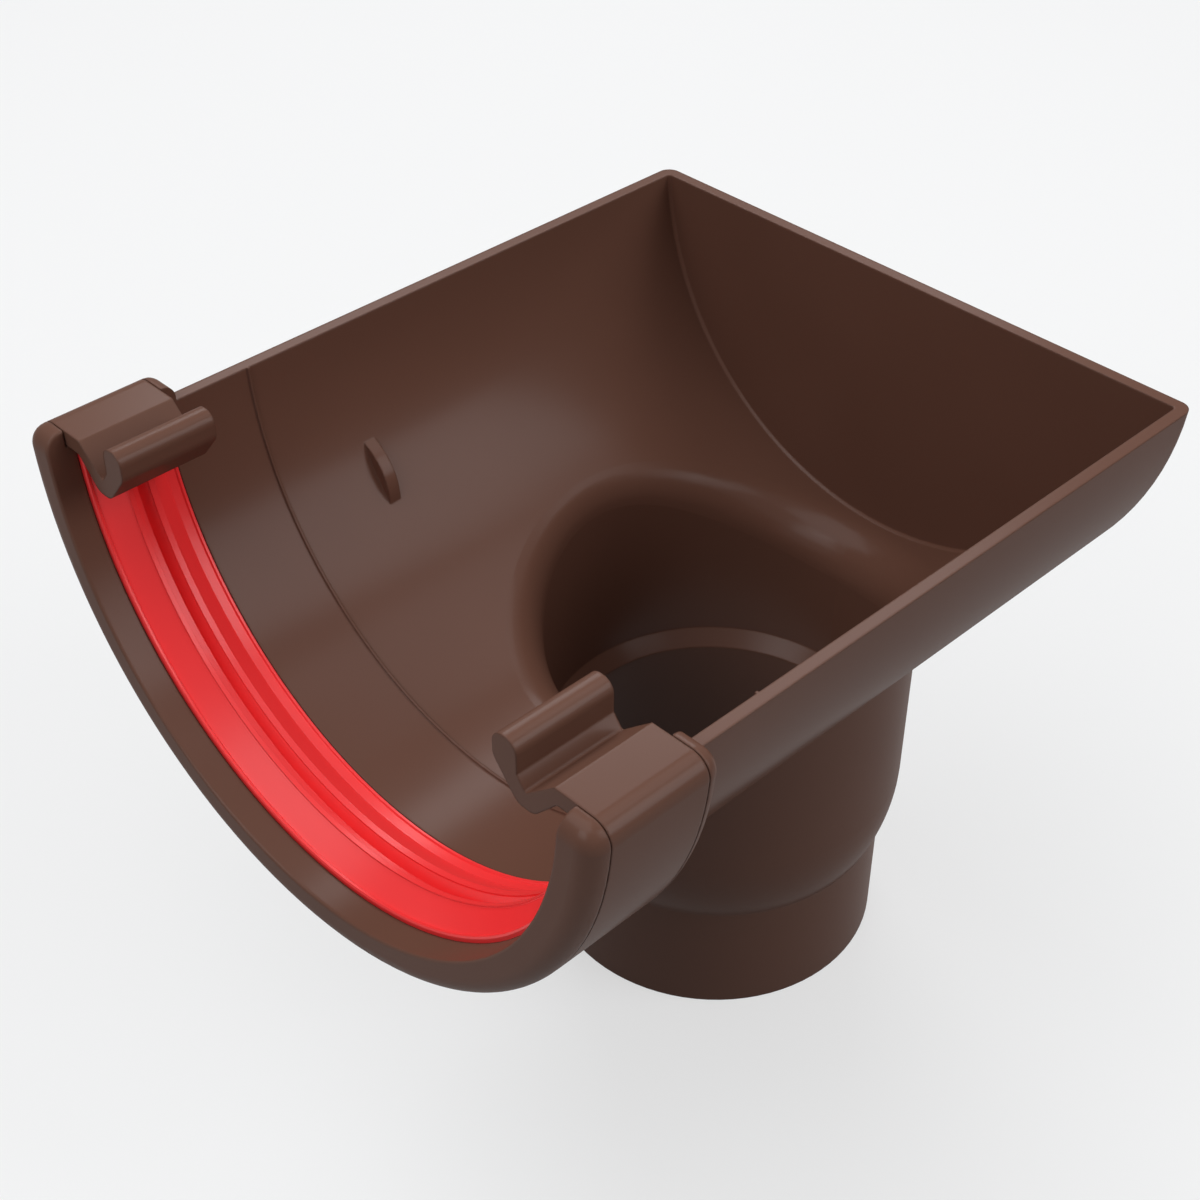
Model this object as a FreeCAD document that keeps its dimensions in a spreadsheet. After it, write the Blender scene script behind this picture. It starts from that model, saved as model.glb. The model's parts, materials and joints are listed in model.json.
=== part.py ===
import FreeCAD, Part
import math
import os

import Sketcher

# Half-round gutter stop end outlet: a moulded trough closed at one end, a stepped spigot below it,
# and a sealed socket at the open end with a snap strap that clips over the gutter's edges.
# +X runs along the gutter towards the stop end, +Z is up, and the origin is the middle of the spigot's foot.

# Driving dimensions in millimetres. A reach is measured along the gutter from the spigot's axis.
SIZES = {
    # Trough and stop end
    "trough_radius": 57.4,
    "wall": 2.2,
    "centre_rise": 4.2,
    "stop_wall": 2.25,
    "stop_land": 0.65,
    "stop_edge_radius": 2.4,
    "stop_seam": 0.5,
    # Spigot and throat
    "spigot_radius": 32.2,
    "spigot_wall": 2.2,
    "spigot_length": 23.6,
    "shoulder_step": 3.0,
    "shoulder_height": 14.4,
    "inner_step_rise": 12.4,
    "upper_wall": 2.3,
    "upper_length": 27.6,
    "throat_radius": 9.0,
    # Socket
    "socket_ease": 0.6,
    "socket_wall": 2.0,
    "nose_radius": 3.2,
    "nose_land": 0.3,
    "mouth_edge_radius": 0.4,
    "collar_width": 2.5,
    "collar_edge_radius": 2.3,
    # Seal, along the gutter from its front edge and then across its thickness
    "seal_bead": 0.8,
    "seal_ramp": 4.3,
    "seal_ridge": 0.85,
    "seal_groove": 2.1,
    "seal_rear_ramp": 1.3,
    "seal_crest": 1.1,
    "seal_slope": 3.2,
    "seal_flat": 1.65,
    "seal_land": 1.6,
    "seal_seat_depth": 2.1,
    "seal_depth": 2.0,
    "seal_bead_height": 0.3,
    "seal_lip": 2.2,
    "seal_rear_lip": 1.5,
    "seal_step": 0.3,
    "seal_undercut": 0.3,
    "seal_drop": 0.8,
    "seal_clearance": 0.1,
    # Strap and its hooks, from the outside in
    "strap_reach": 74.6,
    "strap_thickness": 2.8,
    "strap_lift": 0.3,
    "strap_clearance": 0.2,
    "strap_corner_radius": 3.3,
    "hook_top": 10.6,
    "hook_run": 5.4,
    "hook_depth": 1.7,
    "hook_slant": 1.7,
    "hook_floor": 3.2,
    "hook_crest_lead": 0.5,
    "hook_edge_radius": 0.4,
    "hook_bend_radius": 1.0,
    "hook_belly_radius": 2.4,
    "bead_width": 4.6,
    "bead_flat": 0.4,
    "bead_rise": 5.7,
    "bead_root": 0.5,
    "bead_side_rise": 1.2,
    # Gutter stops and insertion line
    "line_reach": 57.8,
    "line_width": 0.5,
    "line_height": 0.35,
    "lug_reach": 37.0,
    "lug_width": 2.4,
    "lug_upper_angle": 25.0,
    "lug_lower_angle": 39.0,
    "lug_height": 2.2,
}

TOLERANCE = 0.01
EDGE_SAMPLES = 5

# Places that several features share, as expressions of the sheet
OUTER_RADIUS = "(sizes.trough_radius + sizes.wall)"
UPPER_RADIUS = "(sizes.spigot_radius + sizes.shoulder_step)"
BORE_RADIUS = "(sizes.spigot_radius - sizes.spigot_wall)"
UPPER_BORE_RADIUS = f"({UPPER_RADIUS} - sizes.upper_wall)"
SHOULDER_TOP = "(sizes.spigot_length + sizes.shoulder_height)"
AXIS_HEIGHT = f"({SHOULDER_TOP} + sizes.upper_length + {OUTER_RADIUS})"
RIM_HEIGHT = f"({AXIS_HEIGHT} - sizes.centre_rise)"
STOP_FACE = f"({UPPER_BORE_RADIUS} + sizes.throat_radius + sizes.stop_land + sizes.stop_seam)"
STOP_REACH = f"({STOP_FACE} + sizes.stop_wall)"
SEAL_SEAT_RADIUS = "(sizes.trough_radius + sizes.seal_seat_depth)"
CHANNEL_RADIUS = f"({SEAL_SEAT_RADIUS} + sizes.socket_wall)"
STRAP_SEAT_RADIUS = f"({CHANNEL_RADIUS} + sizes.strap_clearance)"
STRAP_RADIUS = f"({STRAP_SEAT_RADIUS} + sizes.strap_thickness)"
STRAP_UNDER = f"({RIM_HEIGHT} + sizes.strap_lift)"
STRAP_TOP = f"({STRAP_UNDER} + sizes.strap_thickness)"
SEAL_WIDTH = ("(2 * sizes.seal_bead + sizes.seal_ramp + sizes.seal_ridge + sizes.seal_groove"
              " + sizes.seal_rear_ramp + sizes.seal_crest + sizes.seal_slope + sizes.seal_flat)")
SEAL_SEAT_BACK = "(sizes.strap_reach + sizes.seal_clearance)"
SEAL_SEAT_WIDTH = f"({SEAL_WIDTH} + 2 * sizes.seal_clearance)"
SEAL_SEAT_FRONT = f"({SEAL_SEAT_BACK} + {SEAL_SEAT_WIDTH})"
NOSE_BACK = f"({SEAL_SEAT_FRONT} + sizes.seal_land)"
NOSE_WIDTH = "(sizes.nose_radius + sizes.nose_land)"
NOSE_FRONT = f"({NOSE_BACK} + {NOSE_WIDTH})"
COLLAR_BACK = "(sizes.strap_reach - sizes.collar_width)"
MOUTH_RADIUS = "(sizes.trough_radius + sizes.socket_ease)"
BEAD_RADIUS = "((sizes.bead_width - sizes.bead_flat) / 2)"

# Roundings of the hook's corners by name. The bead's root stays sharp.
HOOK_ROUNDS = {
    "crest": "sizes.hook_edge_radius",
    "valley": "sizes.hook_edge_radius",
    "bead_top_outer": BEAD_RADIUS,
    "bead_top_inner": BEAD_RADIUS,
    "bead_side": "sizes.hook_belly_radius",
    "belly": "sizes.hook_belly_radius",
    "floor_end": "sizes.hook_belly_radius",
    "crest_under": "sizes.hook_bend_radius",
}

doc = FreeCAD.newDocument("gutter_stop_end_outlet")


def make_sheet():
    sheet = doc.addObject("Spreadsheet::Sheet", "sizes")
    for row, (name, size) in enumerate(SIZES.items(), start=1):
        sheet.set(f"A{row}", name)
        sheet.set(f"B{row}", str(size))
        sheet.setAlias(f"B{row}", name)
    doc.recompute()
    return sheet


sheet = make_sheet()


def value(expression):
    return float(sheet.evalExpression(expression.replace("sizes.", "")))


# Sketch helpers

def origin_plane(body, role):
    return next(item for item in body.Origin.OriginFeatures if item.Role == role)


def new_sketch(body, name, role, offset="0"):
    """A sketch on one of the body's origin planes, shifted along the plane's normal."""
    sketch = body.newObject("Sketcher::SketchObject", name)
    sketch.AttachmentSupport = [(origin_plane(body, role), "")]
    sketch.MapMode = "FlatFace"
    sketch.setExpression("AttachmentOffset.Base.z", offset)
    return sketch


def bind(sketch, expression, kind, *where):
    index = sketch.addConstraint(Sketcher.Constraint(kind, *where, value(expression)))
    sketch.setExpression(f"Constraints[{index}]", expression)


def pin_point(sketch, geometry, end, across, up):
    """Holds one end of a curve at a place given by two expressions."""
    for kind, axis, expression in (("DistanceX", -2, across), ("DistanceY", -1, up)):
        if expression == "0":
            sketch.addConstraint(Sketcher.Constraint("PointOnObject", geometry, end, axis))
        else:
            bind(sketch, expression, kind, -1, 1, geometry, end)


def join(sketch, *ends):
    sketch.addConstraint(Sketcher.Constraint("Coincident", *ends))


def point(across, up):
    return FreeCAD.Vector(value(across), value(up), 0)


def half_width(radius, top):
    """Half the width, at a height, of a disc about the trough's axis."""
    return math.sqrt(value(radius) ** 2 - (value(AXIS_HEIGHT) - value(top)) ** 2)


def add_lines(sketch, corners, closed=True):
    """Straight runs through corners, each held at its own place."""
    count = len(corners) if closed else len(corners) - 1
    lines = []
    for index in range(count):
        start = point(*corners[index])
        end = point(*corners[(index + 1) % len(corners)])
        lines.append(sketch.addGeometry(Part.LineSegment(start, end)))
    for index, line in enumerate(lines):
        pin_point(sketch, line, 1, *corners[index])
        if index + 1 < len(lines):
            join(sketch, line, 2, lines[index + 1], 1)
    if closed:
        join(sketch, lines[-1], 2, lines[0], 1)
    else:
        pin_point(sketch, lines[-1], 2, *corners[-1])
    return lines


def add_trough_arc(sketch, radius, top, first_angle=None):
    """An arc about the trough's axis that ends at a height at +Y. It starts at an angle,
    or at the same height on the other side."""
    centre = point("0", AXIS_HEIGHT)
    end_angle = math.asin((value(top) - centre.y) / value(radius))
    start_angle = math.pi - end_angle if first_angle is None else first_angle
    circle = Part.Circle(centre, FreeCAD.Vector(0, 0, 1), value(radius))
    arc = sketch.addGeometry(Part.ArcOfCircle(circle, start_angle, end_angle + 2 * math.pi))
    pin_point(sketch, arc, 3, "0", AXIS_HEIGHT)
    bind(sketch, radius, "Radius", arc)
    bind(sketch, top, "DistanceY", -1, 1, arc, 2)
    if first_angle is None:
        sketch.addConstraint(Sketcher.Constraint("Horizontal", arc, 1, arc, 2))
    return arc


def segment_sketch(body, name, offset, radius, top):
    """The part of a disc about the trough's axis that lies below a height."""
    sketch = new_sketch(body, name, "YZ_Plane", offset)
    arc = add_trough_arc(sketch, radius, top)
    half = half_width(radius, top)
    chord = Part.LineSegment(FreeCAD.Vector(half, value(top), 0), FreeCAD.Vector(-half, value(top), 0))
    line = sketch.addGeometry(chord)
    join(sketch, arc, 2, line, 1)
    join(sketch, line, 2, arc, 1)
    return sketch


def circle_sketch(body, name, offset, radius):
    """A whole disc about the trough's axis."""
    sketch = new_sketch(body, name, "YZ_Plane", offset)
    circle = Part.Circle(point("0", AXIS_HEIGHT), FreeCAD.Vector(0, 0, 1), value(radius))
    index = sketch.addGeometry(circle)
    pin_point(sketch, index, 3, "0", AXIS_HEIGHT)
    bind(sketch, radius, "Radius", index)
    return sketch


# Feature helpers

def pad(body, sketch, name, length):
    feature = body.newObject("PartDesign::Pad", name)
    feature.Profile = sketch
    feature.setExpression("Length", length)
    doc.recompute()
    return feature


def revolve(body, sketch, name):
    """A full turn of a sketch about the spigot's axis."""
    feature = body.newObject("PartDesign::Revolution", name)
    feature.Profile = sketch
    feature.ReferenceAxis = (sketch, ["V_Axis"])
    doc.recompute()


def require_less(body, before, name):
    if body.Shape.Volume >= before:
        raise RuntimeError(f"{name} took nothing away")


def cut(body, sketch, name, length):
    """A pocket towards -X."""
    before = body.Shape.Volume
    feature = body.newObject("PartDesign::Pocket", name)
    feature.Profile = sketch
    feature.setExpression("Length", length)
    doc.recompute()
    require_less(body, before, name)


def bore_out(body, sketch, name):
    """A full turn about the spigot's axis that takes material away."""
    before = body.Shape.Volume
    feature = body.newObject("PartDesign::Groove", name)
    feature.Profile = sketch
    feature.ReferenceAxis = (sketch, ["V_Axis"])
    doc.recompute()
    require_less(body, before, name)


def mirror(body, name, originals):
    """Repeats features, or the whole body where none are given, on the other side of the trough."""
    feature = body.newObject("PartDesign::Mirrored", name)
    if originals:
        feature.Originals = originals
    else:
        feature.TransformMode = "Whole shape"
    feature.MirrorPlane = (origin_plane(body, "XZ_Plane"), [""])
    body.Tip = feature
    doc.recompute()


# Edge tests, each a function of a point

def at_x(place):
    return lambda p: abs(p.x - place) < TOLERANCE


def at_side(place):
    return lambda p: abs(abs(p.y) - place) < TOLERANCE


def at_height(place):
    return lambda p: abs(p.z - place) < TOLERANCE


def axis_distance(p):
    return math.hypot(p.y, p.z - value(AXIS_HEIGHT))


def on_trough(radius):
    return lambda p: abs(axis_distance(p) - radius) < TOLERANCE


def on_spigot(radius):
    return lambda p: abs(math.hypot(p.x, p.y) - radius) < TOLERANCE


def outside_or_on_top(radius, top):
    return lambda p: axis_distance(p) > radius + TOLERANCE or p.z > top - TOLERANCE


def edges_on(shape, tests):
    """Names of the edges whose every sampled point passes all the tests."""
    names = []
    for number, edge in enumerate(shape.Edges, start=1):
        if edge.Degenerated:
            continue
        points = edge.discretize(EDGE_SAMPLES)
        if all(test(p) for test in tests for p in points):
            names.append(f"Edge{number}")
    return names


def dress_edges(body, kind, name, size_name, size, tests):
    """Adds an edge feature on the edges of the body's present shape that pass the tests."""
    base = body.Tip
    names = edges_on(base.Shape, tests)
    if not names:
        raise RuntimeError(f"{name} found no edge")
    feature = body.newObject(f"PartDesign::{kind}", name)
    feature.Base = (base, names)
    feature.setExpression(size_name, size)
    doc.recompute()


def round_edges(body, name, radius, *tests):
    dress_edges(body, "Fillet", name, "Radius", radius, tests)


def bevel_edges(body, name, size, *tests):
    dress_edges(body, "Chamfer", name, "Size", size, tests)


# Outlet body

def add_shoulder_arc(sketch, lines):
    """The shoulder's curve leaves the upper tube smoothly and ends on the lower tube."""
    top = point(UPPER_RADIUS, SHOULDER_TOP)
    drop = value("sizes.shoulder_height")
    step = value("sizes.shoulder_step")
    radius = (drop ** 2 + step ** 2) / (2 * step)
    circle = Part.Circle(top - FreeCAD.Vector(radius, 0, 0), FreeCAD.Vector(0, 0, 1), radius)
    arc = sketch.addGeometry(Part.ArcOfCircle(circle, -math.asin(drop / radius), 0))
    join(sketch, arc, 1, lines[-1], 2)
    join(sketch, arc, 2, lines[0], 1)
    sketch.addConstraint(Sketcher.Constraint("Horizontal", arc, 3, arc, 2))


def spigot_sketch(body):
    """Half section of the spigot: foot, lower tube, swelling shoulder and upper tube."""
    sketch = new_sketch(body, "spigot_section", "XZ_Plane")
    core_top = f"{AXIS_HEIGHT} - {OUTER_RADIUS} / 2"
    lines = add_lines(sketch, [
        (UPPER_RADIUS, SHOULDER_TOP),
        (UPPER_RADIUS, core_top),
        ("0", core_top),
        ("0", "0"),
        ("sizes.spigot_radius", "0"),
        ("sizes.spigot_radius", "sizes.spigot_length"),
    ], closed=False)
    add_shoulder_arc(sketch, lines)
    return sketch


def bore_sketch(body):
    """Half section of the way through the throat and the spigot."""
    sketch = new_sketch(body, "bore_section", "XZ_Plane")
    step_bottom = "sizes.spigot_length + sizes.inner_step_rise"
    add_lines(sketch, [
        ("0", "0"),
        (BORE_RADIUS, "0"),
        (BORE_RADIUS, step_bottom),
        (UPPER_BORE_RADIUS, f"{step_bottom} + {UPPER_BORE_RADIUS} - {BORE_RADIUS}"),
        (UPPER_BORE_RADIUS, AXIS_HEIGHT),
        ("0", AXIS_HEIGHT),
    ])
    return sketch


def add_outer_form(body):
    trough = segment_sketch(body, "trough_section", f"-{NOSE_BACK}", OUTER_RADIUS, RIM_HEIGHT)
    pad(body, trough, "trough", f"{NOSE_BACK} + {STOP_REACH}")
    revolve(body, spigot_sketch(body), "spigot")
    round_edges(body, "throat_outside", "sizes.throat_radius - sizes.wall",
                on_spigot(value(UPPER_RADIUS)), on_trough(value(OUTER_RADIUS)))
    round_edges(body, "stop_edge", "sizes.stop_edge_radius",
                at_x(value(STOP_REACH)), on_trough(value(OUTER_RADIUS)))


def add_flange(body, name, front, width, edge_place, edge_radius):
    """A rim round the outside of the socket, level with the strap. Its corners and one edge are rounded."""
    section = segment_sketch(body, f"{name}_section", f"-{front}", STRAP_RADIUS, STRAP_TOP)
    pad(body, section, name, width)
    round_edges(body, f"{name}_corner", "sizes.strap_corner_radius",
                at_height(value(STRAP_TOP)), at_side(half_width(STRAP_RADIUS, STRAP_TOP)))
    round_edges(body, f"{name}_edge", edge_radius,
                at_x(-value(edge_place)), outside_or_on_top(value(CHANNEL_RADIUS), value(STRAP_TOP)))


def add_socket_form(body):
    """Seat of the strap, with the collar behind it and the nose in front of it."""
    channel = segment_sketch(body, "channel_section", f"-{NOSE_BACK}", CHANNEL_RADIUS, RIM_HEIGHT)
    pad(body, channel, "channel", f"{NOSE_BACK} - {COLLAR_BACK}")
    add_flange(body, "collar", "sizes.strap_reach", "sizes.collar_width",
               COLLAR_BACK, "sizes.collar_edge_radius")
    add_flange(body, "nose", NOSE_FRONT, NOSE_WIDTH, NOSE_FRONT, "sizes.nose_radius")


def cut_inside(body):
    inside = circle_sketch(body, "inside_section", STOP_FACE, "sizes.trough_radius")
    cut(body, inside, "inside", f"{STOP_FACE} + {NOSE_FRONT}")
    bore_out(body, bore_sketch(body), "bore")
    round_edges(body, "throat", "sizes.throat_radius",
                on_spigot(value(UPPER_BORE_RADIUS)), on_trough(value("sizes.trough_radius")))
    bevel_edges(body, "stop_seam", "sizes.stop_seam",
                at_x(value(STOP_FACE)), on_trough(value("sizes.trough_radius")))
    mouth = circle_sketch(body, "mouth_section", f"-{SEAL_SEAT_FRONT}", MOUTH_RADIUS)
    cut(body, mouth, "mouth", f"{NOSE_FRONT} - {SEAL_SEAT_FRONT}")
    round_edges(body, "mouth_edge", "sizes.mouth_edge_radius",
                at_x(-value(NOSE_FRONT)), on_trough(value(MOUTH_RADIUS)))
    seat = circle_sketch(body, "seal_seat_section", f"-{SEAL_SEAT_BACK}", SEAL_SEAT_RADIUS)
    cut(body, seat, "seal_seat", SEAL_SEAT_WIDTH)


def line_sketch(body):
    """A thin band that stands up from the trough's wall and is rooted in it."""
    sketch = new_sketch(body, "line_section", "YZ_Plane", "-sizes.line_reach - sizes.line_width / 2")
    root_radius = "sizes.trough_radius + sizes.wall / 2"
    face_radius = "sizes.trough_radius - sizes.line_height"
    root = add_trough_arc(sketch, root_radius, RIM_HEIGHT)
    face = add_trough_arc(sketch, face_radius, RIM_HEIGHT)
    for end, side in ((1, -1), (2, 1)):
        start = FreeCAD.Vector(side * half_width(root_radius, RIM_HEIGHT), value(RIM_HEIGHT), 0)
        stop = FreeCAD.Vector(side * half_width(face_radius, RIM_HEIGHT), value(RIM_HEIGHT), 0)
        line = sketch.addGeometry(Part.LineSegment(start, stop))
        join(sketch, root, end, line, 1)
        join(sketch, line, 2, face, end)
    return sketch


def lug_sketch(body):
    """A bowed fin on the back wall, between two angles below the trough's axis."""
    sketch = new_sketch(body, "lug_section", "YZ_Plane", "-sizes.lug_reach - sizes.lug_width")
    root_radius = "(sizes.trough_radius + sizes.wall / 2)"
    crest_radius = "(sizes.trough_radius - sizes.lug_height)"
    middle_angle = "((sizes.lug_upper_angle + sizes.lug_lower_angle) / 2)"
    half_angle = "((sizes.lug_lower_angle - sizes.lug_upper_angle) / 2)"

    def place(angle, radius):
        return (f"{radius} * cos({angle} * 1deg)", f"{AXIS_HEIGHT} - {radius} * sin({angle} * 1deg)")

    upper = place("sizes.lug_upper_angle", root_radius)
    lower = place("sizes.lug_lower_angle", root_radius)
    crest = place(middle_angle, crest_radius)
    root = add_lines(sketch, [upper, lower], closed=False)[0]
    bow = sketch.addGeometry(Part.Arc(point(*upper), point(*crest), point(*lower)))
    join(sketch, bow, 1, root, 1)
    join(sketch, bow, 2, root, 2)
    half_chord = f"({root_radius} * sin({half_angle} * 1deg))"
    bow_rise = f"({root_radius} * cos({half_angle} * 1deg) - {crest_radius})"
    bind(sketch, f"({half_chord} ^ 2 + {bow_rise} ^ 2) / (2 * {bow_rise})", "Radius", bow)
    return sketch


def make_outlet_body():
    body = doc.addObject("PartDesign::Body", "outlet_body")
    add_outer_form(body)
    add_socket_form(body)
    cut_inside(body)
    pad(body, line_sketch(body), "insert_line", "sizes.line_width")
    lug = pad(body, lug_sketch(body), "lug", "sizes.lug_width")
    mirror(body, "lugs", [lug])
    return body


# Retaining strap

def hook_corners():
    """Corners of the hook's section by name, from the crest down into the valley,
    round the finger bead and back along the underside."""
    corner_reach = f"sqrt({STRAP_RADIUS} ^ 2 - ({AXIS_HEIGHT} - {STRAP_TOP}) ^ 2)"
    crest = f"({corner_reach} - sizes.hook_top)"
    valley = f"({crest} - sizes.hook_run)"
    bead_outer = f"({valley} - sizes.hook_slant)"
    bead_inner = f"({bead_outer} - sizes.bead_width)"
    bead_top = f"{RIM_HEIGHT} + sizes.bead_rise"
    valley_floor = f"({RIM_HEIGHT} - sizes.hook_depth)"
    valley_under = f"{valley_floor} - sizes.strap_thickness"
    return {
        "crest": (crest, STRAP_TOP),
        "valley": (valley, valley_floor),
        "bead_root": (bead_outer, f"{RIM_HEIGHT} + sizes.bead_root"),
        "bead_top_outer": (bead_outer, bead_top),
        "bead_top_inner": (bead_inner, bead_top),
        "bead_side": (bead_inner, f"{RIM_HEIGHT} + sizes.bead_side_rise"),
        "belly": (bead_outer, valley_under),
        "floor_end": (f"{bead_outer} + sizes.hook_floor", valley_under),
        "crest_under": (f"{crest} + sizes.hook_crest_lead", STRAP_UNDER),
    }


def strap_sketch(body, corners):
    """Section of one half of the strap, from the middle plane below the trough up to its hook."""
    sketch = new_sketch(body, "strap_section", "YZ_Plane", f"-{NOSE_BACK} + sizes.strap_clearance")
    straight_down = 1.5 * math.pi
    outer = add_trough_arc(sketch, STRAP_RADIUS, STRAP_TOP, straight_down)
    inner = add_trough_arc(sketch, STRAP_SEAT_RADIUS, STRAP_UNDER, straight_down)
    for arc in (outer, inner):
        sketch.addConstraint(Sketcher.Constraint("PointOnObject", arc, 1, -2))
    hook = add_lines(sketch, corners, closed=False)
    top_corner = FreeCAD.Vector(half_width(STRAP_RADIUS, STRAP_TOP), value(STRAP_TOP), 0)
    seat_corner = FreeCAD.Vector(half_width(STRAP_SEAT_RADIUS, STRAP_UNDER), value(STRAP_UNDER), 0)
    lowest_inner = point("0", f"{AXIS_HEIGHT} - {STRAP_SEAT_RADIUS}")
    lowest_outer = point("0", f"{AXIS_HEIGHT} - {STRAP_RADIUS}")
    top = sketch.addGeometry(Part.LineSegment(top_corner, point(*corners[0])))
    seat = sketch.addGeometry(Part.LineSegment(point(*corners[-1]), seat_corner))
    foot = sketch.addGeometry(Part.LineSegment(lowest_inner, lowest_outer))
    join(sketch, outer, 2, top, 1)
    join(sketch, top, 2, hook[0], 1)
    join(sketch, hook[-1], 2, seat, 1)
    join(sketch, seat, 2, inner, 2)
    join(sketch, inner, 1, foot, 1)
    join(sketch, foot, 2, outer, 1)
    return sketch


def make_retaining_strap():
    body = doc.addObject("PartDesign::Body", "retaining_strap")
    corners = hook_corners()
    width = f"{NOSE_BACK} - sizes.strap_reach - 2 * sizes.strap_clearance"
    pad(body, strap_sketch(body, list(corners.values())), "strap_half", width)
    round_edges(body, "outer_corner", "sizes.strap_corner_radius",
                at_height(value(STRAP_TOP)), at_side(half_width(STRAP_RADIUS, STRAP_TOP)))
    for name, radius in HOOK_ROUNDS.items():
        across, up = corners[name]
        round_edges(body, f"{name}_round", radius, at_side(value(across)), at_height(value(up)))
    mirror(body, "strap_both_sides", [])
    return body


# Gutter seal

def seal_sketch(body):
    """Section of the seal along the gutter: an edge bead, a ramp up to the front lip's ridge,
    a groove, a short ramp to the rear lip's crest, its slope, and the other edge bead, on a flat base."""
    sketch = new_sketch(body, "seal_section", "XZ_Plane")
    front = f"(-{SEAL_SEAT_FRONT} + sizes.seal_clearance)"
    ramp_start = f"({front} + sizes.seal_bead)"
    ridge_start = f"({ramp_start} + sizes.seal_ramp)"
    ridge_end = f"({ridge_start} + sizes.seal_ridge)"
    groove_end = f"({ridge_end} + sizes.seal_groove)"
    crest_start = f"({groove_end} + sizes.seal_rear_ramp)"
    crest_end = f"({crest_start} + sizes.seal_crest)"
    slope_end = f"({crest_end} + sizes.seal_slope)"
    rear_bead = f"({slope_end} + sizes.seal_flat)"
    back = f"({rear_bead} + sizes.seal_bead)"
    base = f"({AXIS_HEIGHT} - {SEAL_SEAT_RADIUS} + sizes.seal_clearance)"
    face = f"({base} + sizes.seal_depth)"
    bead_top = f"{face} + sizes.seal_bead_height"
    lip = f"({face} + sizes.seal_lip)"
    ridge_top = f"{lip} + sizes.seal_step"
    rear_lip = f"({face} + sizes.seal_rear_lip)"
    crest_top = f"{rear_lip} + sizes.seal_step"
    add_lines(sketch, [
        (front, base),
        (front, face),
        (f"{front} + sizes.seal_bead / 4", bead_top),
        (f"{ramp_start} - sizes.seal_bead / 4", bead_top),
        (ramp_start, face),
        (ridge_start, lip),
        (ridge_start, ridge_top),
        (ridge_end, ridge_top),
        (f"{ridge_end} - sizes.seal_undercut", face),
        (groove_end, face),
        (crest_start, rear_lip),
        (crest_start, crest_top),
        (crest_end, crest_top),
        (slope_end, face),
        (rear_bead, face),
        (f"{rear_bead} + sizes.seal_bead / 4", bead_top),
        (f"{back} - sizes.seal_bead / 4", bead_top),
        (back, face),
        (back, base),
    ])
    return sketch


def add_trough_axis(sketch):
    """The trough's axis as a construction line of a sketch along the gutter."""
    line = sketch.addGeometry(Part.LineSegment(point("0", AXIS_HEIGHT), point(STOP_REACH, AXIS_HEIGHT)), True)
    pin_point(sketch, line, 1, "0", AXIS_HEIGHT)
    pin_point(sketch, line, 2, STOP_REACH, AXIS_HEIGHT)


def make_gutter_seal():
    body = doc.addObject("PartDesign::Body", "gutter_seal")
    sketch = seal_sketch(body)
    add_trough_axis(sketch)
    ring = body.newObject("PartDesign::Revolution", "seal_ring")
    ring.Profile = sketch
    ring.ReferenceAxis = (sketch, ["Axis0"])
    ring.Midplane = True
    ring.setExpression("Angle", f"2 * acos((sizes.centre_rise + sizes.seal_drop) / {SEAL_SEAT_RADIUS})")
    doc.recompute()
    return body


def check(parts):
    for item in doc.Objects:
        if "Invalid" in item.State or "Error" in item.State:
            raise RuntimeError(f"{item.Name} failed: {item.State}")
    for body in parts:
        if body.Shape.isNull() or not body.Shape.isValid():
            raise RuntimeError(f"{body.Label} has no valid shape")
        if len(body.Shape.Solids) != 1:
            raise RuntimeError(f"{body.Label} has {len(body.Shape.Solids)} solids")


parts = [make_outlet_body(), make_retaining_strap(), make_gutter_seal()]
doc.recompute()
check(parts)
os.makedirs("parts", exist_ok=True)
for body in parts:
    body.Shape.exportStep(f"parts/{body.Label}.step")
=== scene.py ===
import json
import math

import bpy
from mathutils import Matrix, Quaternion, Vector

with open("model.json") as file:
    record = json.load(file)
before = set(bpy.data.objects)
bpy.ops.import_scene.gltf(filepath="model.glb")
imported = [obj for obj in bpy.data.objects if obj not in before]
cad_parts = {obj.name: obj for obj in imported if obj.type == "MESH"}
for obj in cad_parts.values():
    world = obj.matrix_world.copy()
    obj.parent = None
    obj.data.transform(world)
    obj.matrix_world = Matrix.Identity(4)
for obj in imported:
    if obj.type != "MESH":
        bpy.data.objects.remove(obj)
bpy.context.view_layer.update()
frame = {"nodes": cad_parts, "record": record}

# Gutter stop end outlet: the finish of its moulded body, strap and seal, a plain studio round
# them, and the camera. Lengths are in metres.

WHITE = (1.0, 1.0, 1.0, 1.0)

# Camera: the point that it looks at, how far off it stands, and which way it looks, with the
# azimuth turning from +Y towards +X and the elevation looking down
CAMERA_TARGET = Vector((-0.0204, 0.0113, 0.0770))
CAMERA_DISTANCE = 0.3602
CAMERA_AZIMUTH = math.radians(44.50)
CAMERA_ELEVATION = math.radians(38.57)
CAMERA_ROLL = math.radians(0.26)
CAMERA_LENS_MM = 60.84
CAMERA_SENSOR_MM = 36.0

# Floor and sky: each has a level as a light on the part, and one where it is looked at
FLOOR_SIZE = 12.0
FLOOR_DROP = 0.0002
FLOOR_COLOUR = (0.32, 0.32, 0.32, 1.0)
FLOOR_ROUGHNESS = 0.9
FLOOR_LIGHT = 0.0
FLOOR_GLOW = 0.58
SKY_LIGHT = 0.17
SKY_BACKGROUND = 0.65

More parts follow.
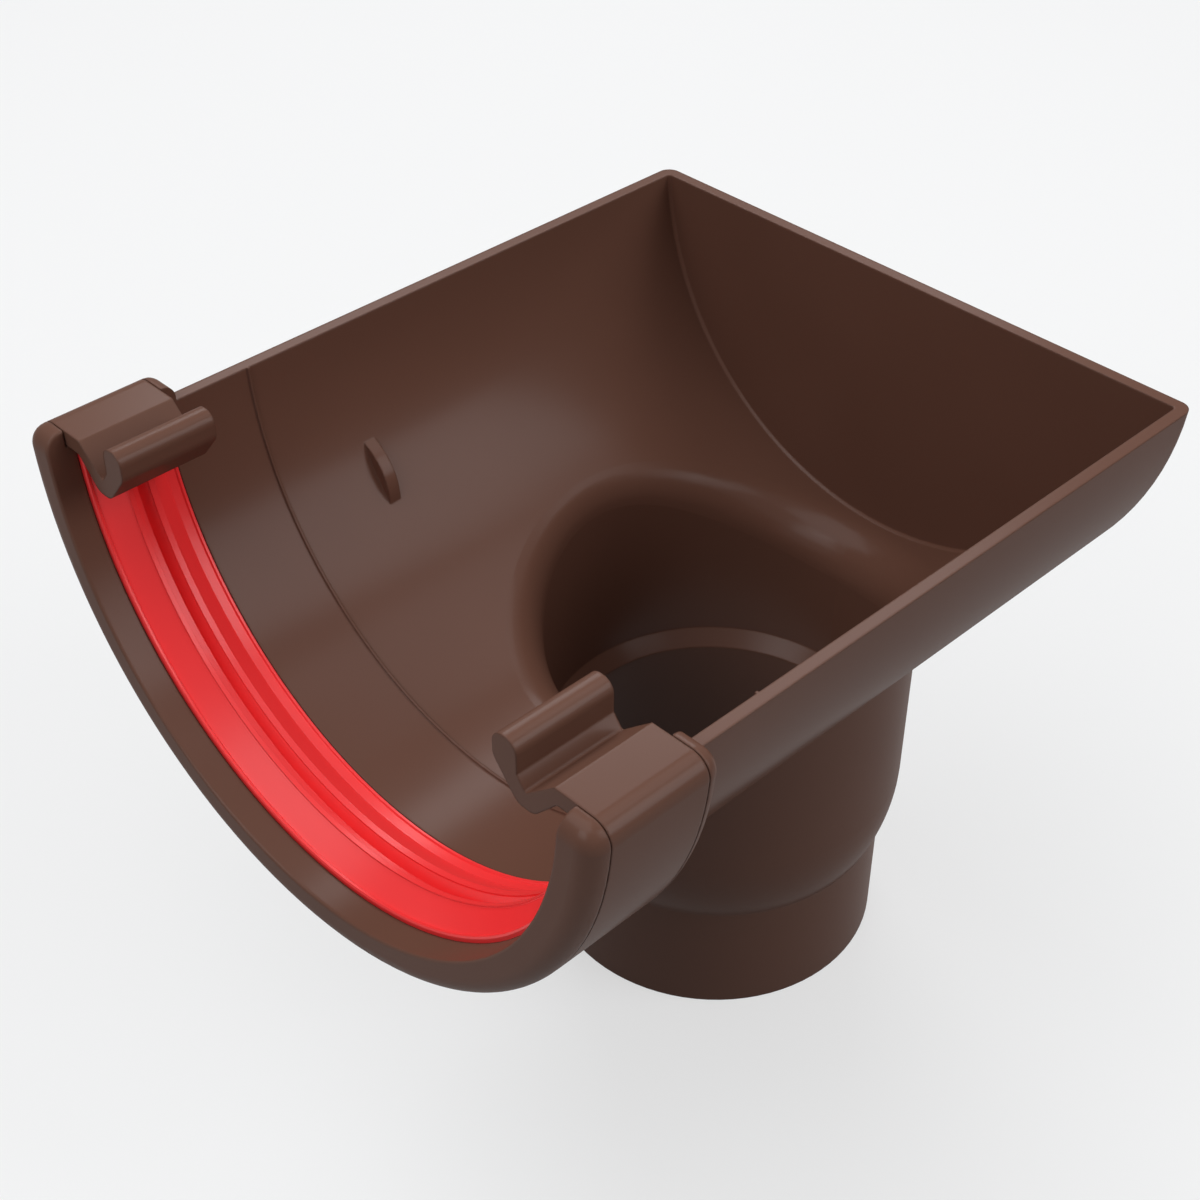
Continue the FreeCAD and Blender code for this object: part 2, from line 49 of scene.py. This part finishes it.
# Softboxes: azimuth from +X towards +Y and elevation, in degrees, then width, height and radiance
STUDIO_CENTRE = Vector((-0.025, 0.0, 0.08))
SOFTBOX_DISTANCE = 1.1
COOL_WHITE = (0.96, 0.98, 1.0)
SOFTBOXES = {
    "overhead_softbox": (145.0, 68.0, 1.15, 0.95, 2.0),
    "left_softbox": (180.0, 38.0, 0.70, 0.50, 2.2),
    "front_softbox": (304.0, 31.0, 0.50, 0.65, 3.7),
    "side_softbox": (281.0, 42.0, 0.30, 0.70, 1.8),
    "back_softbox": (47.0, 39.0, 0.60, 0.35, 5.2),
    "high_softbox": (350.0, 57.0, 0.70, 0.35, 2.0),
}

# Finishes, by the record's material slots: colour and roughness drift between two values, the
# gloss is a thin clear coat, and an edge is shaded as if it were rounded to its radius
FINISHES = {
    "brown_plastic": {
        "colours": ((0.121, 0.0550, 0.0370, 1.0), (0.133, 0.0610, 0.0415, 1.0)),
        "roughness": (0.17, 0.22),
        "gloss": 0.24,
        "gloss_roughness": 0.22,
        "edge_radius": 0.0005,
    },
    "red_rubber": {
        "colours": ((0.86, 0.030, 0.032, 1.0), (0.92, 0.036, 0.038, 1.0)),
        "roughness": (0.26, 0.32),
        "gloss": 0.7,
        "gloss_roughness": 0.28,
        "edge_radius": 0.00012,
    },
}
SURFACE_IOR = 1.5
EDGE_SAMPLES = 6

# Noises: waves for each metre and detail, and the middle part of a noise's range that is used
COLOUR_DRIFT = (22.0, 2.0)
ROUGHNESS_DRIFT = (60.0, 2.0)
GRAIN = (600.0, 1.0)
GRAIN_HEIGHT = 0.00001
GRAIN_STRENGTH = 0.1
NOISE_LOW = 0.2
NOISE_HIGH = 0.8


def add_node(tree, kind, **settings):
    node = tree.nodes.new(kind)
    for name, setting in settings.items():
        setattr(node, name, setting)
    return node


def noise(tree, place, scale, detail):
    """A noise texture in the part's own frame."""
    node = add_node(tree, "ShaderNodeTexNoise")
    node.inputs["Scale"].default_value = scale
    node.inputs["Detail"].default_value = detail
    tree.links.new(place.outputs["Object"], node.inputs["Vector"])
    return node


def value_range(tree, source, low, high):
    """Eases a noise's middle part over a range of plain values."""
    node = add_node(tree, "ShaderNodeMapRange", interpolation_type="SMOOTHSTEP")
    node.inputs["From Min"].default_value = NOISE_LOW
    node.inputs["From Max"].default_value = NOISE_HIGH
    node.inputs["To Min"].default_value = low
    node.inputs["To Max"].default_value = high
    tree.links.new(source.outputs["Fac"], node.inputs["Value"])
    return node


def colour_range(tree, source, first, last):
    """Eases a noise's middle part from one colour to another."""
    node = add_node(tree, "ShaderNodeValToRGB")
    node.color_ramp.interpolation = "EASE"
    ends = node.color_ramp.elements
    ends[0].position, ends[0].color = NOISE_LOW, first
    ends[1].position, ends[1].color = NOISE_HIGH, last
    tree.links.new(source.outputs["Fac"], node.inputs["Fac"])
    return node


def moulded_material(name, colours, roughness, gloss, gloss_roughness, edge_radius):
    """A moulded surface: slow drifts, a faint grain, softened edges and a thin satin gloss."""
    material = bpy.data.materials.new(name)
    material.use_nodes = True
    tree = material.node_tree
    shader = tree.nodes["Principled BSDF"]
    # The coat alone gives the gloss
    shader.inputs["IOR"].default_value = SURFACE_IOR
    shader.inputs["Specular IOR Level"].default_value = 0.0
    shader.inputs["Coat Weight"].default_value = gloss
    shader.inputs["Coat IOR"].default_value = SURFACE_IOR
    shader.inputs["Coat Roughness"].default_value = gloss_roughness
    place = add_node(tree, "ShaderNodeTexCoord")
    tint = colour_range(tree, noise(tree, place, *COLOUR_DRIFT), *colours)
    matt = value_range(tree, noise(tree, place, *ROUGHNESS_DRIFT), *roughness)
    grain = noise(tree, place, *GRAIN)
    edge = add_node(tree, "ShaderNodeBevel", samples=EDGE_SAMPLES)
    edge.inputs["Radius"].default_value = edge_radius
    bump = add_node(tree, "ShaderNodeBump")
    bump.inputs["Distance"].default_value = GRAIN_HEIGHT
    bump.inputs["Strength"].default_value = GRAIN_STRENGTH
    tree.links.new(grain.outputs["Fac"], bump.inputs["Height"])
    tree.links.new(edge.outputs["Normal"], bump.inputs["Normal"])
    tree.links.new(tint.outputs["Color"], shader.inputs["Base Color"])
    tree.links.new(matt.outputs["Result"], shader.inputs["Roughness"])
    tree.links.new(bump.outputs["Normal"], shader.inputs["Normal"])
    tree.links.new(bump.outputs["Normal"], shader.inputs["Coat Normal"])
    return material


def finish_pieces():
    """Gives each piece of the part the finish that its record names."""
    materials = {name: moulded_material(name, **finish) for name, finish in FINISHES.items()}
    for subpart in frame["record"]["subparts"]:
        piece = frame["nodes"][subpart["node"]]
        piece.data.materials.clear()
        piece.data.materials.append(materials[subpart["material_slot"]])


def background_level(tree, as_light, looked_at):
    """A level that depends on whether a ray looks at the background, straight, in a reflection
    or through glass, or only carries its light."""
    path = add_node(tree, "ShaderNodeLightPath")
    looking = path.outputs["Is Camera Ray"]
    for kind in ("Is Glossy Ray", "Is Transmission Ray"):
        either = add_node(tree, "ShaderNodeMath", operation="MAXIMUM")
        tree.links.new(looking, either.inputs[0])
        tree.links.new(path.outputs[kind], either.inputs[1])
        looking = either.outputs["Value"]
    level = add_node(tree, "ShaderNodeMapRange")
    level.inputs["To Min"].default_value = as_light
    level.inputs["To Max"].default_value = looked_at
    tree.links.new(looking, level.inputs["Value"])
    return level.outputs["Result"]


def add_floor():
    """A plain pale floor that takes the part's shadow."""
    bpy.ops.mesh.primitive_plane_add(size=FLOOR_SIZE, location=(0.0, 0.0, -FLOOR_DROP))
    floor = bpy.context.object
    floor.name = "floor"
    material = bpy.data.materials.new("floor_paint")
    material.use_nodes = True
    tree = material.node_tree
    shader = tree.nodes["Principled BSDF"]
    shader.inputs["Base Color"].default_value = FLOOR_COLOUR
    shader.inputs["Roughness"].default_value = FLOOR_ROUGHNESS
    shader.inputs["Specular IOR Level"].default_value = 0.0
    shader.inputs["Emission Color"].default_value = WHITE
    glow = background_level(tree, FLOOR_LIGHT, FLOOR_GLOW)
    tree.links.new(glow, shader.inputs["Emission Strength"])
    floor.data.materials.append(material)


def add_softbox(name, azimuth, elevation, width, height, radiance):
    """A soft area lamp that faces the part. Its power is its radiance times pi times its area."""
    lamp = bpy.data.lights.new(name, "AREA")
    lamp.shape = "RECTANGLE"
    lamp.size = width
    lamp.size_y = height
    lamp.energy = radiance * math.pi * width * height
    lamp.color = COOL_WHITE
    turn = math.radians(azimuth)
    rise = math.radians(elevation)
    level = math.cos(rise)
    towards = Vector((level * math.cos(turn), level * math.sin(turn), math.sin(rise)))
    holder = bpy.data.objects.new(name, lamp)
    holder.location = STUDIO_CENTRE + towards * SOFTBOX_DISTANCE
    holder.rotation_mode = "QUATERNION"
    holder.rotation_quaternion = (-towards).to_track_quat("-Z", "Y")
    bpy.context.scene.collection.objects.link(holder)


def add_sky():
    """A dim, even sky that shows as a pale background."""
    world = bpy.data.worlds.new("studio")
    world.use_nodes = True
    tree = world.node_tree
    shader = tree.nodes["Background"]
    shader.inputs["Color"].default_value = WHITE
    strength = background_level(tree, SKY_LIGHT, SKY_BACKGROUND)
    tree.links.new(strength, shader.inputs["Strength"])
    bpy.context.scene.world = world


def add_camera():
    """The camera at the photo's viewing angle."""
    level = math.cos(CAMERA_ELEVATION)
    forward = Vector((level * math.sin(CAMERA_AZIMUTH), level * math.cos(CAMERA_AZIMUTH),
                      -math.sin(CAMERA_ELEVATION)))
    roll = Quaternion((0, 0, 1), CAMERA_ROLL)
    lens = bpy.data.cameras.new("camera")
    lens.lens = CAMERA_LENS_MM
    lens.sensor_width = CAMERA_SENSOR_MM
    camera = bpy.data.objects.new("camera", lens)
    camera.location = CAMERA_TARGET - forward * CAMERA_DISTANCE
    camera.rotation_mode = "QUATERNION"
    camera.rotation_quaternion = forward.to_track_quat("-Z", "Y") @ roll
    bpy.context.scene.collection.objects.link(camera)
    bpy.context.scene.camera = camera


finish_pieces()
add_floor()
for name, softbox in SOFTBOXES.items():
    add_softbox(name, *softbox)
add_sky()
add_camera()
bpy.context.scene.view_settings.view_transform = "Standard"
